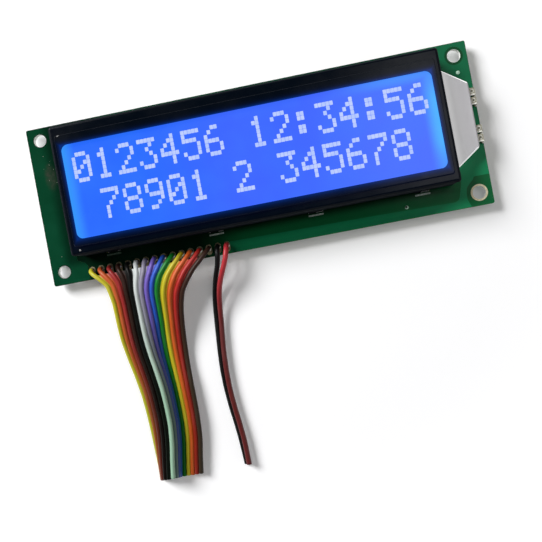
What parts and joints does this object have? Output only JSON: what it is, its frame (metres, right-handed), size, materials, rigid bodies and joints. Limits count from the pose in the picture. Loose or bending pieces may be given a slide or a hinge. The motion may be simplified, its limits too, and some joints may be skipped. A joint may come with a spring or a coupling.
{
  "type": "character lcd display module",
  "caption": "Character LCD display module: circuit board with a stamped black bezel, backlit blue screen, side ear of the backlight, and a soldered ribbon and wire pair with cut ends.",
  "frame": {"origin": "middle of the board's outline, on the surface that the bezel's tabs stand on; the wires are left out of it", "axes": "+X along the board's long side from the first to the last connection pad, +Y to the board's upper edge, +Z out of the screen"},
  "size_m": [0.122, 0.1026, 0.0128],
  "materials": {
    "solder_mask": "green solder mask over fibreglass",
    "tin": "tinned copper and solder",
    "bezel_black": "satin black on stamped steel",
    "screen": "polarizer film over a lit blue field",
    "glass": "polished",
    "film": "white film",
    "acrylic": "clear",
    "housing_white": "moulded pale grey",
    "elastomer": "layered rubber",
    "epoxy": "black epoxy",
    "chip_black": "chip part",
    "chip_tan": "chip part",
    "lamp": "lamp body",
    "wire_yellow": "flexible insulation",
    "wire_orange": "flexible insulation",
    "wire_red": "flexible insulation",
    "wire_brown": "flexible insulation",
    "wire_black": "flexible insulation",
    "wire_white": "flexible insulation",
    "wire_grey": "flexible insulation",
    "wire_violet": "flexible insulation",
    "wire_blue": "flexible insulation",
    "wire_green": "flexible insulation"
  },
  "bodies": {
    "root": {"board": "solder_mask", "ground_ring": "tin", "header_pads": "tin", "header_solder": "tin", "bezel": "bezel_black", "front_polarizer": "screen", "front_glass": "glass", "rear_glass": "glass", "rear_polarizer": "film", "diffuser_film": "film", "light_guide": "acrylic", "reflector_film": "film", "backlight_housing": "housing_white", "led_board": "film", "leds": "lamp", "backlight_leads": "tin", "lead_solder": "tin", "zebra_upper": "elastomer", "zebra_lower": "elastomer", "controller_blob": "epoxy", "driver_blob": "epoxy", "smd_resistors": "chip_black", "smd_capacitors": "chip_tan", "wire_01_yellow": "wire_yellow", "wire_02_orange": "wire_orange", "wire_03_red": "wire_red", "wire_04_brown": "wire_brown", "wire_05_black": "wire_black", "wire_06_white": "wire_white", "wire_07_grey": "wire_grey", "wire_08_violet": "wire_violet", "wire_09_blue": "wire_blue", "wire_10_green": "wire_green", "wire_11_yellow": "wire_yellow", "wire_12_orange": "wire_orange", "wire_13_red": "wire_red", "wire_14_brown": "wire_brown", "wire_15_black": "wire_black", "wire_16_red": "wire_red"}
  },
  "joints": []
}
